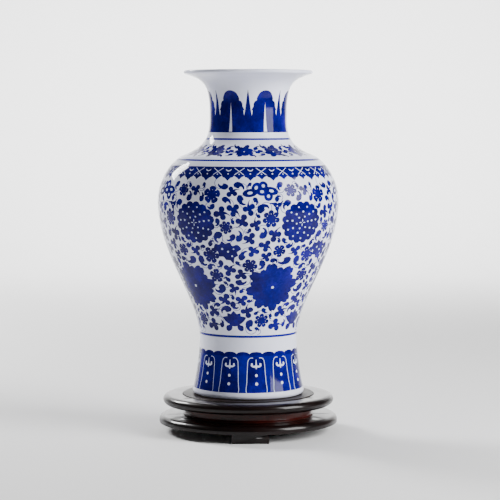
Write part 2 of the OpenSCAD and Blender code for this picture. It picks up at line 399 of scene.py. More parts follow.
# ---------------------------------------------------------------------------
# Vase. Porcelain thrown in four sections and luted with slip, then turned. One
# skin of clear glaze runs from the foot, over the lip and down inside; only the
# ring that stands on the panel is wiped bare.

seat_z = panel_high
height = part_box("vase_neck")[1].z - seat_z
belly_r = ring_reach("vase_upper_body")[1]
mouth_r = ring_reach("vase_neck")[1]
foot_r = 60.5 * mm
waist_r = 52.7 * mm
neck_r = 41.7 * mm
wall = 4.5 * mm


def vec(x, y):
    return np.array([x, y], float)


def bezier(points, steps):
    """Points on a cubic curve, without its first one."""
    t = np.linspace(0, 1, steps + 1)[1:, None]
    a, b, c, d = (vec(*p) for p in points)
    return a * (1 - t) ** 3 + 3 * b * t * (1 - t) ** 2 + 3 * c * t**2 * (1 - t) + d * t**3


foot_lean, shoulder_lean, lip_lean, upright = vec(-0.3, 1), vec(-1, 0.4), vec(1, 0.3), vec(0, 1)
foot_round, lip_round = 4 * mm, 2 * mm
foot_turn = math.degrees(math.atan2(-foot_lean[0], foot_lean[1]))
lip_turn = math.degrees(math.atan2(lip_lean[1], lip_lean[0]))
foot_centre = vec(foot_r - foot_round, foot_round)
lip_centre = vec(mouth_r - lip_round, height - lip_round)
foot_start = vec(*arc(foot_centre, foot_round, foot_turn, foot_turn, 1)[0])
lip_start = vec(*arc(lip_centre, lip_round, lip_turn - 90, lip_turn - 90, 1)[0])
waist = vec(waist_r, height * 0.17)
belly = vec(belly_r, height * 0.6)
shoulder = vec(neck_r + (belly_r - neck_r) * 0.5, height * 0.74)
neck = vec(neck_r, height * 0.875)


def stretch(start, heading, share, end, end_heading, end_share, steps):
    """The curve between two points, its handles as shares of the height between them."""
    rise = end[1] - start[1]
    leave = rise * share * heading / np.hypot(*heading)
    arrive = rise * end_share * end_heading / np.hypot(*end_heading)
    return bezier([start, start + leave, end - arrive, end], steps)


outer = np.vstack([
    foot_start,
    stretch(foot_start, foot_lean, 0.25, waist, upright, 0.2, 40),
    stretch(waist, upright, 0.3, belly, upright, 0.4, 90),
    stretch(belly, upright, 0.45, shoulder, shoulder_lean, 0.3, 40),
    stretch(shoulder, shoulder_lean, 0.65, neck, upright, 0.5, 50),
    stretch(neck, upright, 0.8, lip_start, lip_lean, 0.45, 50),
])
outer_s = np.concatenate([[0], np.cumsum(np.hypot(*np.diff(outer, axis=0).T))])
wall_reach = outer_s[-1]
slope = np.gradient(outer, axis=0)
outward = np.stack([slope[:, 1], -slope[:, 0]], 1)
outward /= np.hypot(*outward.T)[:, None]

lip_arc = arc(lip_centre, lip_round, lip_turn - 90, lip_turn + 90, 12)
inside_low = 60 * mm
floor_top = 15 * mm
floor_r = 26.35 * mm
inside = (outer - outward * wall)[::-1]
inside = inside[(inside[:, 1] > inside_low) & (inside[:, 1] < height - 6 * mm)][::3]
inside_r = waist_r - wall
inside_foot = bezier(
    [(inside_r, inside_low), (inside_r, 33 * mm), (50.45 * mm, floor_top), (floor_r, floor_top)], 22)
floor_line = [(floor_r * (1 - i / 8), floor_top) for i in range(1, 9)]
recess = 9 * mm
recess_round = 2 * mm
recess_r = 46 * mm
recess_line = [(0, recess), (16 * mm, recess), (32 * mm, recess), (recess_r, recess)]
recess_line += arc((recess_r, recess - recess_round), recess_round, 90, 8, 6)[1:]
foot_ring = [(50 * mm, 1 * mm), (50.35 * mm, 0.35 * mm), (51 * mm, 0), (53.7 * mm, 0)]
foot_ring += arc(foot_centre, foot_round, -90, foot_turn, 10)
rest_line = [*lip_arc, *inside, *inside_foot, *floor_line]
under_line = [*recess_line, *foot_ring]

# The painting is laid out flat first: across is the turn about the axis, as
# millimetres on a cylinder of sheet_r, and up is the way along the wall. The
# motifs are closed outlines, filled with a depth of cobalt: 0 is bare glaze.

sheet_r = 70.0
sheet_w = 2 * math.pi * sheet_r
sheet_h = wall_reach / mm
steps_round = 144
column = sheet_w / steps_round
outlines = []


def up_wall(level):
    """Way along the wall, in millimetres, at a height above the seat."""
    return float(np.interp(level * mm, outer[:, 1], outer_s)) / mm


def wall_radius(way):
    return float(np.interp(way * mm, outer_s, outer[:, 0])) / mm


def spun(points, a):
    """Motif points turned about the motif's middle by an angle in radians."""
    x, y = points[:, 0], points[:, 1]
    return np.stack([x * math.cos(a) - y * math.sin(a), x * math.sin(a) + y * math.cos(a)], 1)


def placed(points, turn, way, spin=0.0, size=1.0):
    """Motif points in millimetres, spun, sized and set on the sheet at a turn in degrees."""
    points = spun(np.asarray(points, float) * size, math.radians(spin))
    widen = sheet_r / wall_radius(way)
    return points * [widen, 1] + [math.radians(turn) * sheet_r, way]


def stepped(outline, longest=3.5):
    """The outline with extra points, so that no side is too long to follow the wall."""
    made = []
    for a, b in zip(outline, np.roll(outline, -1, 0)):
        parts = max(1, math.ceil(np.hypot(*(b - a)) / longest))
        made += [a + (b - a) * i / parts for i in range(parts)]
    return np.array(made)


def paint(outline, depth=1.0):
    """Adds a closed outline, with copies a full turn each way where it crosses the seam."""
    outline = stepped(outline)
    x, y = outline[:, 0], outline[:, 1]
    if np.sum(x * np.roll(y, -1) - np.roll(x, -1) * y) < 0:
        outline = outline[::-1]
    for lap in (-1, 0, 1):
        copy = outline + [lap * sheet_w, 0]
        if copy[:, 0].max() > -sheet_w / 2 and copy[:, 0].min() < sheet_w / 2:
            outlines.append((copy, depth))


def closed_curve(points, steps=4):
    """A rounded closed curve through points."""
    p = np.asarray(points, float)
    before, after, later = np.roll(p, 1, 0), np.roll(p, -1, 0), np.roll(p, -2, 0)
    t = (np.arange(steps) / steps)[None, :, None]
    a, b, c, d = before[:, None], p[:, None], after[:, None], later[:, None]
    square, cube = 2 * a - 5 * b + 4 * c - d, 3 * b - a - 3 * c + d
    curve = 0.5 * (2 * b + (c - a) * t + square * t**2 + cube * t**3)
    return curve.reshape(-1, 2)


def disc(radius, centre=(0, 0), steps=10, flat=1.0):
    return np.array(arc(centre, radius, 0, 360, steps, radius * flat)[:-1])


def scallops(radius, lobes, depth, steps=5, petals=0, point=0.0):
    """A round blossom's outline: lobes of a given depth, gathered into larger pointed petals."""
    turns = np.linspace(0, 2 * math.pi, lobes * steps, endpoint=False)
    reach = 1 - depth * (1 - np.abs(np.sin(turns * lobes / 2)) ** 0.6)
    if petals:
        reach = reach + point * (np.abs(np.cos(turns * petals / 2)) ** 3 - 0.5)
    return np.stack([radius * reach * np.cos(turns), radius * reach * np.sin(turns)], 1)


def brush(path, widths):
    """The outline of one brush stroke along a path, with a half-width at each point."""
    path = np.asarray(path, float)
    heading = np.gradient(path, axis=0)
    heading /= np.hypot(*heading.T)[:, None]
    side = np.stack([-heading[:, 1], heading[:, 0]], 1) * np.asarray(widths, float)[:, None]
    return np.vstack([path + side, (path - side)[::-1]])


def curl(length, hook, steps=9):
    """A path that starts at the origin and bends steadily by a hook angle in degrees."""
    step = length / steps
    bends = np.radians(np.linspace(0, hook, steps + 1))
    moves = np.stack([np.cos(bends), np.sin(bends)], 1) * step
    return np.vstack([[0, 0], np.cumsum(moves[:-1], 0)])


def comma(length, hook, head):
    """A leaf laid with a loaded brush: a round head that draws out to a hooked tail."""
    path = curl(length, hook, 10)
    profile = [0.45, 0.93, 1.0, 0.97, 0.78, 0.54, 0.42, 0.35, 0.29, 0.23, 0.12]
    return brush(path, np.array(profile) * head)


def strip_round(low, high, depth=1.0):
    """A band of even cobalt right round, between two ways up the wall."""
    edge = sheet_w / 2
    x = np.linspace(-edge - column, edge + column, steps_round + 3)
    lower = np.stack([x, np.full_like(x, low)], 1)
    upper = np.stack([x[::-1], np.full_like(x, high)], 1)
    outlines.append((np.vstack([lower, upper]), depth))


def line_round(level, thickness, depth=0.8):
    """A thin banding line, ruled with the vase turning on the wheel."""
    strip_round(up_wall(level) - thickness / 2, up_wall(level) + thickness / 2, depth)


# Foot band: twelve upright panels with curled heads under a scalloped edge.
foot_low = up_wall(7.6)
foot_edge = up_wall(48.5)
strip_round(foot_low, foot_edge, 0.84)
crest_side = [(7.6, -2), (7.3, 0.2), (5.4, 1.9), (2.6, 2.6)]
crest = [(-7.6, -2), *crest_side, (0, 2.8), *[(-x, y) for x, y in crest_side[:0:-1]]]
panel_side = [(11.4, 0.8), (10.0, 33), (8.6, 36.6), (5.6, 38.2)]
panel_shape = [(-11.4, 0.8), *panel_side, *[(-x, y) for x, y in panel_side[:0:-1]]]
arch_side = [(11.2, 0.2), (10.8, 12), (10.4, 24), (9.9, 32), (9.2, 35), (7.4, 36.9), (5.0, 37.4),
             (2.4, 36.6), (0.5, 34.4)]
fleur_leaf = [(0, 28.8), (2.0, 28.0), (4.0, 28.2), (5.4, 29.4), (5.2, 30.9)]
fleur_stem = brush([(0, 35.4), (0, 32.5), (0, 29), (0, 26.8), (0, 25.2)], [0.4, 0.5, 1.0, 0.9, 0.2])
for lobe in range(24):
    paint(placed(crest, 9 + 15 * lobe, foot_edge - 0.4), 1.0)
for count in range(12):
    turn = 9 + 30 * count
    paint(placed(panel_shape, turn, foot_low), 1.0)
    for hand in (-1, 1):
        side = [(hand * x, y) for x, y in closed_curve(arch_side, 2)[:-4]]
        paint(placed(brush(side, [0.36] * len(side)), turn, foot_low), 0.1)
        paint(placed(disc(2.9, (hand * 4.4, 33.0), 12), turn, foot_low), 1.0)
        leaf = [(hand * x, y) for x, y in fleur_leaf]
        paint(placed(brush(leaf, [0.8, 1.0, 0.9, 1.1, 0.6]), turn, foot_low), 0.05)
        paint(placed(disc(1.2, (hand * 5.0, 30.6), 8), turn, foot_low), 0.05)
    paint(placed(fleur_stem, turn, foot_low), 0.05)
    paint(placed(disc(1.55, (0, 18.6), 12), turn, foot_low), 0.0)
    paint(placed(disc(1.65, (0, 9.6), 12), turn, foot_low), 0.0)

# Banding lines above the foot, above the lace and round the root of the neck.
line_round(67, 2.6)
line_round(254.5, 2.8)
line_round(276.5, 2.2)

# Neck band: seven plantain leaves with lobed edges and a bare midrib, and a
# spike between each pair.
neck_low = up_wall(283.5)
strip_round(neck_low, neck_low + 19.5, 0.95)
leaf_side = [(17.0, 17), (16.2, 20.5), (15.2, 24.5), (13.4, 28.0), (13.3, 30.5), (12.0, 33.0),
             (9.9, 34.2), (9.8, 36.6), (8.5, 39.4), (6.8, 42.1), (4.4, 43.9), (1.7, 44.9)]
spike_side = [(4.4, 17), (3.0, 25), (1.9, 33), (1.0, 40)]
spike = [(-4.4, 17), *spike_side, (0, 46), *[(-x, y) for x, y in spike_side[:0:-1]]]
gap_notch = [(0, 12.5), (0.5, 15), (0.9, 18), (-0.9, 18), (-0.5, 15)]
for count in range(7):
    turn = -26 + 360 / 7 * count
    leaf = closed_curve(leaf_side + [(-x, y) for x, y in leaf_side[::-1]], 3)
    paint(placed(leaf, turn, neck_low), 1.0)
    for hand in (-1, 1):
        paint(placed([(hand * 15.2 + x, y + 5.5) for x, y in gap_notch], turn, neck_low), 0.0)
    midrib = [(-1.9, 0.9), (1.9, 0.9), (1.2, 12), (0.5, 24), (0, 32), (-0.5, 24), (-1.2, 12)]
    paint(placed(midrib, turn, neck_low), 0.0)
    paint(placed(spike, turn + 180 / 7, neck_low), 1.0)

# Lace border on the shoulder: a solid edge over pendant points, ruled across
# with a bare lattice.
lace_top = up_wall(248.4)
strip_round(lace_top - 8.6, lace_top, 1.0)
large_side = [(7.6, -3), (7.6, -9.4), (6.0, -11.0), (5.4, -12.8), (3.0, -13.8)]
large_point = [*[(-x, y) for x, y in large_side], (0, -17.2), *large_side[::-1]]
small_side = [(6.2, -3), (6.2, -10.0), (4.4, -12.0), (2.4, -13.2)]
small_point = [*[(-x, y) for x, y in small_side], (0, -16.0), *small_side[::-1]]
for count in range(24):
    turn = 1.5 + 15 * count
    paint(placed(large_point, turn, lace_top), 1.0)
    paint(placed(small_point, turn + 7.5, lace_top), 0.95)
for count in range(24):
    turn = 1.5 + 15 * count
    for hand in (-1, 1):
        rule = [(hand * 5.2, -1.8), (0, -6.2), (-hand * 4.6, -10.4)]
        paint(placed(brush(rule, [0.32, 0.32, 0.32]), turn + 7.5, lace_top), 0.05)
    smile = [(-2.8, -3.4), (-1.6, -5.0), (0, -5.6), (1.6, -5.0), (2.8, -3.4)]
    paint(placed(brush(smile, [0.2, 0.5, 0.6, 0.5, 0.2]), turn, lace_top), 0.05)
    paint(placed(disc(0.8, (0, -9.2), 8), turn, lace_top), 0.05)
    paint(placed(disc(0.7, (0, -9.6), 8), turn + 7.5, lace_top), 0.1)

# Scroll band under the neck: small blossoms ringed with leaves, and a vine between.
scroll_way = (up_wall(258) + up_wall(271)) / 2
for count in range(12):
    turn = -4 + 30 * count
    paint(placed(scallops(10.2, 7, 0.2), turn, scroll_way, spin=20 * count), 1.0)
    paint(placed(disc(0.8), turn, scroll_way), 0.1)
    for spoke in range(8):
        a = math.radians(22.5 + 45 * spoke)
        leaf = comma(9.4, 150 if spoke % 2 else -150, 2.9)
        leaf_turn = turn + math.degrees(15 * math.cos(a) / wall_radius(scroll_way))
        paint(placed(leaf, leaf_turn, scroll_way + 10 * math.sin(a), math.degrees(a) + 100), 1.0)
    vine = [(4, 3), (8, 5), (12, 2), (16, -2), (20, -4), (24, -2)]
    paint(placed(brush(vine, [0.4] * 6), turn, scroll_way), 0.8)

# Main field: a lotus scroll that repeats five times round, from just above the
# foot to just under the lace. Two big blossoms are placed and the other flowers
# are set off from them; leaves are strewn wherever a brush would find room.
repeats = 5
repeat_w = sheet_w / repeats
cell = 0.5
across = round(repeat_w / cell)
taken = np.zeros((across, int(sheet_h / cell) + 2), bool)
field_low, field_high = up_wall(71.5), up_wall(233.5)
field = []


def mark(outline):
    """Marks the cells that an outline covers, wrapping round the repeat."""
    low = np.floor(outline.min(0) / cell).astype(int)
    high = np.ceil(outline.max(0) / cell).astype(int) + 1
    gx, gy = np.meshgrid(np.arange(low[0], high[0]), np.arange(low[1], high[1]), indexing="ij")
    x, y = (gx + 0.5) * cell, (gy + 0.5) * cell
    within = np.zeros(gx.shape, bool)
    for (ax, ay), (bx, by) in zip(outline, np.roll(outline, -1, 0)):
        if ay != by:
            within ^= ((ay > y) != (by > y)) & (x < (bx - ax) * (y - ay) / (by - ay) + ax)
    taken[gx[within] % across, np.clip(gy[within], 0, taken.shape[1] - 1)] = True


def room_for(outline, clearance):
    """Whether an outline, grown by a clearance, stays in the field and off what is painted."""
    heading = np.roll(outline, -1, 0) - np.roll(outline, 1, 0)
    away = np.stack([heading[:, 1], -heading[:, 0]], 1)
    away /= np.maximum(np.hypot(*away.T), 1e-6)[:, None]
    grown_line = np.vstack([outline + away * clearance, outline - away * clearance])
    if grown_line[:, 1].min() < field_low or grown_line[:, 1].max() > field_high:
        return False
    cells = np.floor(grown_line / cell).astype(int)
    return not taken[cells[:, 0] % across, cells[:, 1]].any()


def lay(parts, turn, level, spin=0.0, size=1.0):
    """Places the parts of a motif in the field; only cobalt takes up room."""
    way = up_wall(level)
    for outline, depth in parts:
        outline = placed(outline, turn, way, spin, size)
        field.append((outline, depth))
        if depth > 0.5:
            mark(outline)


def ring_of(shape, count, radius, start=0.0):
    """Copies of a shape, spaced round a ring and turned with it."""
    made = []
    for i in range(count):
        a = math.radians(start) + 2 * math.pi * i / count
        made.append(spun(shape, a) + [radius * math.cos(a), radius * math.sin(a)])
    return made


def daisy(radius, petals, heart=0.1):
    """A small open flower with fat round-ended petals."""
    reach = [(share * radius, 0) for share in (0.1, 0.35, 0.55, 0.85, 1.08)]
    widths = [share * radius for share in (0.20, 0.28)]
    widths += [share * radius / petals for share in (1.85, 2.45, 1.1)]
    petal = brush(reach, widths)
    parts = [(p, 1.0) for p in ring_of(petal, petals, 0.0, 12)]
    parts.append((disc(0.56 * radius), 1.0))
    parts += [(p, 0.15) for p in ring_of(disc(heart * radius, steps=6), petals, 0.6 * radius, 12)]
    return parts


# The big upper blossom is a chrysanthemum: rings of petals with bare dots and a bare cross.
mum = [(scallops(22.8, 16, 0.10, 4) * [1.1, 1], 0.97)]
mum += [(p * [1.1, 1], 1.0) for p in ring_of(disc(3.1, steps=10), 16, 19.3, 11)]
for count, radius, dot in ((11, 17.0, 0.95), (9, 11.6, 1.05), (6, 6.6, 0.9)):
    mum += [(p * [1.1, 1], 0.12) for p in ring_of(disc(dot, steps=7), count, radius, 9)]
cross_arm = brush([(-1.3, 0), (0, 0), (1.5, 0)], [0.25, 0.5, 0.2])
mum += [(p, 0.12) for p in ring_of(cross_arm, 4, 2.3, 0)]
upper_turn = -36
upper_level = 190
lay(mum, upper_turn, upper_level)

# The big lower blossom is a peony: eight gathered, pointed petals and a bare eye.
peony = [(scallops(27.6, 24, 0.085, 4, petals=8, point=0.2), 0.95)]
for count, radius, wide in ((8, 17.0, 5.0), (8, 10.0, 3.4)):
    bow = [(-0.7, -0.75), (0.2, -0.5), (0.55, 0), (0.2, 0.5), (-0.7, 0.75)]
    fold = brush([(wide * x, wide * y) for x, y in bow], [0.2, 0.5, 0.65, 0.5, 0.2])
    peony += [(p, 0.9) for p in ring_of(fold, count, radius, 22)]
peony += [(disc(1.5, steps=12), 0.05)]
lower_turn = 21
lower_level = 121
lay(peony, lower_turn, lower_level, spin=10)

# A wide flower seen from the side, its petals outlined and left open. It stands
# between two upper blossoms, a little to the right and under the lace.
side_flower = []
side_petals = (
    (-11.5, -2.6, 8.0, 4.4, 8), (-5.0, 3.0, 6.2, 4.8, 60), (2.6, 5.0, 5.2, 5.0, 90),
    (11.0, -0.5, 7.6, 4.4, -12), (1.0, -1.2, 6.0, 4.6, 0), (7.6, -6.0, 5.2, 4.8, 90))
for x, y, long, high, lean in side_petals:
    for scale, depth in ((1.0, 1.0), (0.34, 0.1)):
        shape = disc(long * scale, steps=14, flat=high / long)
        side_flower.append((spun(shape, math.radians(lean)) + [x, y], depth))
side_flower.sort(key=lambda part: -part[1])
between_upper = upper_turn + 180 / repeats
side_step, side_rise = 8, 34
lay(side_flower, between_upper + side_step, upper_level + side_rise)

# A half-open flower hanging from its stem, halfway down between the blossoms.
half_outline = [
    (-14.5, 5), (-12.5, 10), (-8, 9.5), (-5.5, 13), (-1.5, 10.5), (3, 12), (5.5, 8), (10.5, 9.5), (14.5, 4.5),
    (10, 1), (11, -3), (7, -5.5), (5.5, -12.5), (2, -8.5), (-2.5, -8), (-5, -4.5), (-10, -4), (-10.5, 1)]
half_dots = ((-5.5, 4.5, 1.2), (0.5, 1.5, 1.1), (4.5, -3.5, 1.0), (6.5, 4.5, 0.8))
half_open = [(closed_curve(half_outline, 3), 1.0)]
half_open += [(disc(r, (x, y), 8), 0.12) for x, y, r in half_dots]
half_step, half_rise = -14, 3
lay(half_open, between_upper + half_step, (upper_level + lower_level) / 2 + half_rise)

# The seed-head blossom near the foot, midway between two lower blossoms.
petal_up = brush([(0, -4), (0, 1), (0, 6), (0, 9.5), (0, 12)], [2.5, 4.2, 3.9, 2.4, 0.4])
low_flower = []
for lean, reach in ((-68, 1.12), (-34, 1.0), (0, 1.05), (34, 1.0), (68, 1.12)):
    low_flower.append((spun(petal_up, math.radians(lean)) * reach + [0, -1], 1.0))
low_flower += [(disc(6.0, (0, -2), 12, 0.7), 1.0)]
low_flower += [(comma(15, 165, 3.4) + [-10, -8.5], 1.0)]
low_flower += [(comma(14, 165, 3.3) * [-1, 1] + [10, -8.5], 1.0)]
low_drop = 37
lay(low_flower, lower_turn - 180 / repeats, lower_level - low_drop)


def garland(turn, level, reach, count, first, sizes):
    """Small flowers evenly spaced round a big blossom, their sizes taken in turn."""
    for i in range(count):
        a = math.radians(first + 360 * i / count)
        flower_level = level + reach * math.sin(a)
        swing = math.degrees(reach * math.cos(a) / wall_radius(up_wall(flower_level)))
        size = sizes[i % len(sizes)]
        lay(daisy(size, 5 + i % 3, 0.05), turn + swing, flower_level, spin=40 * i)


garland_reach = 37
garland(upper_turn, upper_level, garland_reach, 6, 53, [8.6, 6.6])
garland(lower_turn, lower_level, garland_reach, 3, 20, [7.4])

# Three-petalled sprig, between a wide flower and the next upper blossom.
sprig = [(p, 1.0) for p in ring_of(comma(8.5, 40, 2.4), 3, 0.5, 25)]
sprig_step, sprig_rise = 18, 18
lay(sprig, between_upper + sprig_step, upper_level + sprig_rise)

# Trefoils first, then comma leaves from large to small, each with a fine
# tendril painted under it.
strewn = random.Random(2026)
tendrils = []
trefoil = [disc(3.3, (4.2, 0), 9), disc(3.1, (-1.8, 3.9), 9), disc(3.1, (-1.8, -3.9), 9)]
trefoil += [disc(2.8, (0, 0), 8), comma(9.0, 60, 1.5) * [-1, 1] + [-1.5, 0]]
for attempt in range(2500):
    turn, way = strewn.uniform(-36, 36), strewn.uniform(field_low, field_high)
    spin, size = strewn.uniform(0, 360), strewn.uniform(0.85, 1.1)
    heads = [placed(shape, turn, way, spin, size) for shape in trefoil]
    if all(room_for(shape, 0.6) for shape in heads):
        for shape in heads:
            mark(shape)
            field.append((shape, 0.97))
comma_sizes = (
    (15.0, 4.4, 0.45, 6000), (12.5, 3.9, 0.4, 7000), (9.5, 3.3, 0.35, 8000), (7.0, 2.7, 0.35, 6000))
for length, head, clearance, tries in comma_sizes:
    for attempt in range(tries):
        turn = strewn.uniform(-36, 36)
        way = strewn.uniform(field_low, field_high)
        spin = strewn.uniform(0, 360)
        hook = strewn.choice((-1, 1)) * strewn.uniform(140, 230)
        size = strewn.uniform(0.88, 1.12)
        leaf = placed(comma(length, hook, head), turn, way, spin, size)
        if room_for(leaf, clearance):
            mark(leaf)
            field.append((leaf, strewn.uniform(0.9, 1.0)))
            tail = curl(length * 2.2, hook * 1.5, 14)
            tendrils.append((placed(brush(tail, [0.3] * 15), turn, way, spin, size), 0.75))

for outline, depth in tendrils + field:
    for repeat in range(repeats):
        paint(outline + [repeat * repeat_w, 0], depth)


# Glaze and cobalt share one faceted sheet: a lattice of points, every outline
# as an edge, and the depth of cobalt carried on each triangle.
rows = round(sheet_h / 3.2)
edge_x = sheet_w / 2
points, edges, faces, depths = [], [], [], []
corners = [(-edge_x, 0), (edge_x, 0), (edge_x, sheet_h), (-edge_x, sheet_h)]
points += corners
faces.append([0, 1, 2, 3])
depths.append(0.0)
for outline, depth in outlines:
    first = len(points)
    points += [tuple(p) for p in outline]
    faces.append(list(range(first, first + len(outline))))
    depths.append(depth)
crowd = kdtree.KDTree(len(points))
for i, (x, y) in enumerate(points):
    crowd.insert((x, y, 0), i)
crowd.balance()
for row in range(rows + 1):
    for step in range(steps_round + 1):
        spot = (-edge_x + sheet_w * step / steps_round, sheet_h * row / rows)
        on_border = row in (0, rows) or step in (0, steps_round)
        if on_border or crowd.find((*spot, 0))[2] > 0.9:
            points.append(spot)
cut_points, _, cut_faces, _, _, sources = delaunay_2d_cdt(
    [Vector(p) for p in points], edges, faces, 0, 1e-5, True)
keep = [i for i, src in enumerate(sources) if 0 in src]
sheet_depth = [depths[max(sources[i])] for i in keep]
used = sorted({v for i in keep for v in cut_faces[i]})
renumber = {old: new for new, old in enumerate(used)}
sheet = bpy.data.meshes.new("painted_sheet")
sheet.from_pydata(
    [(cut_points[v].x * mm, cut_points[v].y * mm, 0) for v in used], [],
    [[renumber[v] for v in cut_faces[i]] for i in keep])
sheet.attributes.new("cobalt", "FLOAT", "FACE").data.foreach_set("value", sheet_depth)


def wrapping_tree():
    """Wraps the flat sheet about +Z: across becomes turn, up becomes way along the outline."""
    tree, make, maths, given, result = geometry_tree("wrap_on_vase", {
        "Outline": "NodeSocketObject", "Sheet Radius": "NodeSocketFloat", "Finish": "NodeSocketMaterial",
    })
    link = tree.links.new
    outline = make("GeometryNodeObjectInfo", transform_space="RELATIVE")
    link(given["Outline"], outline.inputs["Object"])
    curve = make("GeometryNodeMeshToCurve")
    link(outline.outputs["Geometry"], curve.inputs["Mesh"])
    flat = make("ShaderNodeSeparateXYZ")
    link(make("GeometryNodeInputPosition").outputs["Position"], flat.inputs["Vector"])
    sample = make("GeometryNodeSampleCurve", mode="LENGTH", use_all_curves=False)
    link(curve.outputs["Curve"], sample.inputs["Curves"])
    link(flat.outputs["Y"], sample.inputs["Length"])
    spot = make("ShaderNodeSeparateXYZ")
    link(sample.outputs["Position"], spot.inputs["Vector"])
    turn = maths("DIVIDE", flat.outputs["X"], given["Sheet Radius"])
    place = make("ShaderNodeCombineXYZ")
    link(maths("MULTIPLY", spot.outputs["X"], maths("SINE", turn, 0)), place.inputs["X"])
    across_view = maths("MULTIPLY", spot.outputs["X"], maths("COSINE", turn, 0))
    link(maths("MULTIPLY", across_view, -1), place.inputs["Y"])
    link(spot.outputs["Z"], place.inputs["Z"])
    put = make("GeometryNodeSetPosition")
    link(given["Geometry"], put.inputs["Geometry"])
    link(place.outputs["Vector"], put.inputs["Position"])
    realized = make("GeometryNodeRealizeInstances")
    link(put.outputs["Geometry"], realized.inputs["Geometry"])
    finish = make("GeometryNodeSetMaterial")
    link(realized.outputs["Geometry"], finish.inputs["Geometry"])
    link(given["Finish"], finish.inputs["Material"])
    link(finish.outputs["Geometry"], result)
    return tree


def painted_glaze():
    """Clear, faintly blue glaze over white porcelain, with cobalt where the brush put it."""
    material, shader, make, link = shader_tree("glazed_porcelain")
    place = make("ShaderNodeTexCoord").outputs["Object"]
    depth = make("ShaderNodeAttribute", attribute_name="cobalt").outputs["Fac"]
    pool = make("ShaderNodeTexNoise", Scale=55.0, Detail=4.0, Roughness=0.6)
    link(place, pool.inputs["Vector"])
    fleck = make("ShaderNodeTexNoise", Scale=420.0, Detail=3.0, Roughness=0.7)
    link(place, fleck.inputs["Vector"])
    wash = make("ShaderNodeMath", operation="MULTIPLY_ADD")
    link(fleck.outputs["Fac"], wash.inputs[0])
    wash.inputs[1].default_value = 0.5
    link(pool.outputs["Fac"], wash.inputs[2])
    cobalt = ramp(make, link, wash.outputs["Value"], [
        (0.50, (0.002, 0.0003, 0.050)), (0.75, (0.004, 0.0008, 0.115)), (1.0, (0.010, 0.003, 0.24))])
    thin = ramp(make, link, depth, [
        (0.0, (0.74, 0.76, 0.89)), (0.12, (0.52, 0.60, 0.86)), (0.75, (0.006, 0.010, 0.32))])
    body = ramp(make, link, pool.outputs["Fac"], [(0.3, (0.70, 0.725, 0.88)), (0.7, (0.75, 0.77, 0.90))])
    strength = make("ShaderNodeMapRange", interpolation_type="SMOOTHSTEP")
    strength.inputs["From Min"].default_value = 0.55
    strength.inputs["From Max"].default_value = 1.0
    link(depth, strength.inputs["Value"])
    bare = make("ShaderNodeMapRange")
    bare.inputs["From Min"].default_value = 0.02
    bare.inputs["From Max"].default_value = 0.03
    link(depth, bare.inputs["Value"])
    tinted = make("ShaderNodeMix", data_type="RGBA")
    link(bare.outputs["Result"], tinted.inputs["Factor"])
    link(body, tinted.inputs["A"])
    link(thin, tinted.inputs["B"])
    colour = make("ShaderNodeMix", data_type="RGBA")
    link(strength.outputs["Result"], colour.inputs["Factor"])
    link(tinted.outputs["Result"], colour.inputs["A"])
    link(cobalt, colour.inputs["B"])
    link(colour.outputs["Result"], shader.inputs["Base Color"])
    shader.inputs["Roughness"].default_value = 0.07
    shader.inputs["Specular IOR Level"].default_value = 0.12
    ripple = make("ShaderNodeTexNoise", Scale=38.0, Detail=2.0)
    link(place, ripple.inputs["Vector"])
    bump = make("ShaderNodeBump", Strength=0.25, Distance=0.00015)
    link(ripple.outputs["Fac"], bump.inputs["Height"])
    link(bump.outputs["Normal"], shader.inputs["Normal"])
    return material


def bare_porcelain():
    """Unglazed foot ring: fired white clay, toasted a little where it met the kiln shelf."""
    material, shader, make, link = shader_tree("bare_porcelain")
    place = make("ShaderNodeTexCoord").outputs["Object"]
    grit = make("ShaderNodeTexNoise", Scale=900.0, Detail=4.0)
    link(place, grit.inputs["Vector"])
    toast = make("ShaderNodeTexNoise", Scale=35.0, Detail=2.0)
    link(place, toast.inputs["Vector"])
    stops = [(0.35, (0.74, 0.70, 0.64)), (0.65, (0.62, 0.52, 0.42))]
    link(ramp(make, link, toast.outputs["Fac"], stops), shader.inputs["Base Color"])
    shader.inputs["Roughness"].default_value = 0.75
    bump = make("ShaderNodeBump", Strength=0.4, Distance=0.0002)
    link(grit.outputs["Fac"], bump.inputs["Height"])
    link(bump.outputs["Normal"], shader.inputs["Normal"])
    return material


glaze = painted_glaze()
bisque = bare_porcelain()
lift = vec(0, seat_z)
outline_holder = bpy.data.objects.new("wall_outline", outline_mesh([tuple(p + lift) for p in outer]))
bpy.context.scene.collection.objects.link(outline_holder)
skin = grown(sheet, wrapping_tree(), outline=outline_holder, sheet_radius=sheet_r * mm, finish=glaze)
bpy.data.objects.remove(outline_holder)

seam_turn = -math.pi / 2 - math.pi
vase_solid = bmesh.new()
vase_solid.from_mesh(skin)
for line in (rest_line, under_line):
    raised = [(p[0], p[1] + seat_z) for p in line]
    half = grown(outline_mesh(raised), turning, steps=steps_round, start=seam_turn,
                 sweep=2 * math.pi, finish=glaze)
    vase_solid.from_mesh(half)
bmesh.ops.remove_doubles(vase_solid, verts=vase_solid.verts, dist=0.003 * mm)
bmesh.ops.recalc_face_normals(vase_solid, faces=vase_solid.faces)
bmesh.ops.triangulate(vase_solid, faces=vase_solid.faces)
for face in vase_solid.faces:
    spots = [v.co.z - seat_z for v in face.verts]
    radii = [math.hypot(v.co.x, v.co.y) for v in face.verts]
    stands = max(spots) < 1.05 * mm and min(radii) > 49.9 * mm
    face.material_index = 1 if stands else 0
    face.smooth = True
vase_mesh = bpy.data.meshes.new("vase_painted")
vase_solid.to_mesh(vase_mesh)

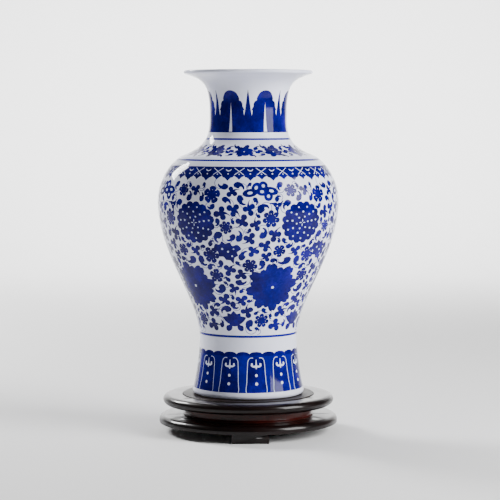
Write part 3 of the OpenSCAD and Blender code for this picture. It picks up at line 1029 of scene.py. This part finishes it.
# True normals of the turned wall, so that the small painted triangles don't show.
normals = np.array([n.vector for n in vase_mesh.vertex_normals])
spots = np.array([v.co for v in vase_mesh.vertices])
radius = np.hypot(spots[:, 0], spots[:, 1])
level = spots[:, 2] - seat_z
on_wall = np.abs(radius - np.interp(level, outer[:, 1], outer[:, 0])) < 0.3 * mm
on_wall &= (level > outer[0, 1]) & (level < outer[-1, 1])
lean_out = np.interp(level, outer[:, 1], outward[:, 0])
lean_up = np.interp(level, outer[:, 1], outward[:, 1])
safe = np.maximum(radius, 1e-9)
true = np.stack([spots[:, 0] / safe * lean_out, spots[:, 1] / safe * lean_out, lean_up], 1)
normals[on_wall] = true[on_wall]
vase_mesh.normals_split_custom_set_from_vertices(normals.tolist())

# One flat map of the whole skin: the turn runs across; the wall, the inside and
# the underside each have their own strip, one above the other.
rest_s = np.array(rest_line)
under_s = np.array(under_line)


def way_on(line, spot):
    """Share of the way along a line of (radius, height) points, nearest to a spot."""
    gap = np.hypot(line[:, 0] - spot[0], line[:, 1] - spot[1])
    return float(np.argmin(gap)) / (len(line) - 1)


uv_map = vase_mesh.uv_layers.new(name="OFBake")
near_foot = np.abs(level - outer[0, 1]) < 0.01 * mm
near_lip = np.abs(level - outer[-1, 1]) < 0.3 * mm
turn_of = np.arctan2(spots[:, 0], -spots[:, 1]) / (2 * math.pi)
for polygon in vase_mesh.polygons:
    centre = polygon.center
    middle_turn = math.atan2(centre.x, -centre.y) / (2 * math.pi)
    at_end = [near_foot[v] or near_lip[v] for v in polygon.vertices]
    walled = [on_wall[v] for v in polygon.vertices]
    on_outside = all(w or e for w, e in zip(walled, at_end)) and any(walled)
    for loop in polygon.loop_indices:
        v = vase_mesh.loops[loop].vertex_index
        across_by = middle_turn + (turn_of[v] - middle_turn + 0.5) % 1.0 - 0.5
        if radius[v] < 0.01 * mm:
            across_by = middle_turn
        spot = (radius[v], level[v])
        if on_outside:
            up_by = 0.30 + 0.69 * float(np.interp(level[v], outer[:, 1], outer_s)) / wall_reach
        elif level[v] > floor_top - 0.1 * mm or centre.z - seat_z > floor_top:
            up_by = 0.10 + 0.19 * (1 - way_on(rest_s, spot))
        else:
            up_by = 0.01 + 0.08 * way_on(under_s, spot)
        uv_map.data[loop].uv = (min(max(0.5 + 0.99 * across_by, 0), 1), up_by)

show("vase_painted", vase_mesh, "vase", [glaze, bisque],
     ["vase_foot", "vase_lower_body", "vase_upper_body", "vase_neck"])

# ---------------------------------------------------------------------------
# Studio. A plain pale sweep of paper with its own light, a broad soft light from
# the right, a small bright softbox high behind on the left, and a camera at the
# height of the neck.

sweep_side = [(-4.0, 0.0), (2.0, 0.0)]
sweep_side += [(2.0 + math.sin(math.radians(a)), 1.0 - math.cos(math.radians(a))) for a in range(6, 91, 6)]
sweep_side += [(3.0, 3.5)]
sweep_points = [(x, y, z) for y, z in sweep_side for x in (-5, 5)]
sweep_faces = [(2 * i, 2 * i + 1, 2 * i + 3, 2 * i + 2) for i in range(len(sweep_side) - 1)]
sweep_mesh = bpy.data.meshes.new("sweep")
sweep_mesh.from_pydata(sweep_points, [], sweep_faces)
sweep_mesh.shade_smooth()
sweep = bpy.data.objects.new("sweep", sweep_mesh)
bpy.context.scene.collection.objects.link(sweep)
sweep_material, sweep_shader, make, link = shader_tree("pale_paper")
sweep_shader.inputs["Base Color"].default_value = (0.8, 0.8, 0.8, 1)
sweep_shader.inputs["Roughness"].default_value = 0.9
sweep_mesh.materials.append(sweep_material)

world = bpy.data.worlds.new("studio")
bpy.context.scene.world = world
world.use_nodes = True
world.node_tree.nodes["Background"].inputs["Color"].default_value = (1, 1, 1, 1)
world.node_tree.nodes["Background"].inputs["Strength"].default_value = 0.12


def softbox(name, place, aim, wide, high, power):
    """A rectangular light at a place, aimed at a point."""
    light = bpy.data.lights.new(name, "AREA")
    light.shape = "RECTANGLE"
    light.size = wide
    light.size_y = high
    light.energy = power
    holder = bpy.data.objects.new(name, light)
    holder.location = place
    holder.rotation_euler = (Vector(aim) - Vector(place)).to_track_quat("-Z", "Y").to_euler()
    bpy.context.scene.collection.objects.link(holder)
    return holder


softbox("key_right", (1.25, -0.62, 0.82), (0, 0, 0.36), 0.8, 1.1, 52)
softbox("left_box", (-1.15, 0.95, 1.1), (0, 0, 0.3), 0.42, 0.58, 48)
paper_light = softbox("paper_light", (0, 1.6, 3.0), (0, 3.0, 0.4), 2.8, 1.0, 105)
paper_light.data.spread = math.radians(80)

lens = bpy.data.cameras.new("camera")
lens.lens = 136.1
lens.sensor_width = 36
camera = bpy.data.objects.new("camera", lens)
camera.location = (0.00195, -2.049, 0.3403)
camera.rotation_euler = (math.radians(86), 0, 0)
bpy.context.scene.collection.objects.link(camera)
bpy.context.scene.camera = camera
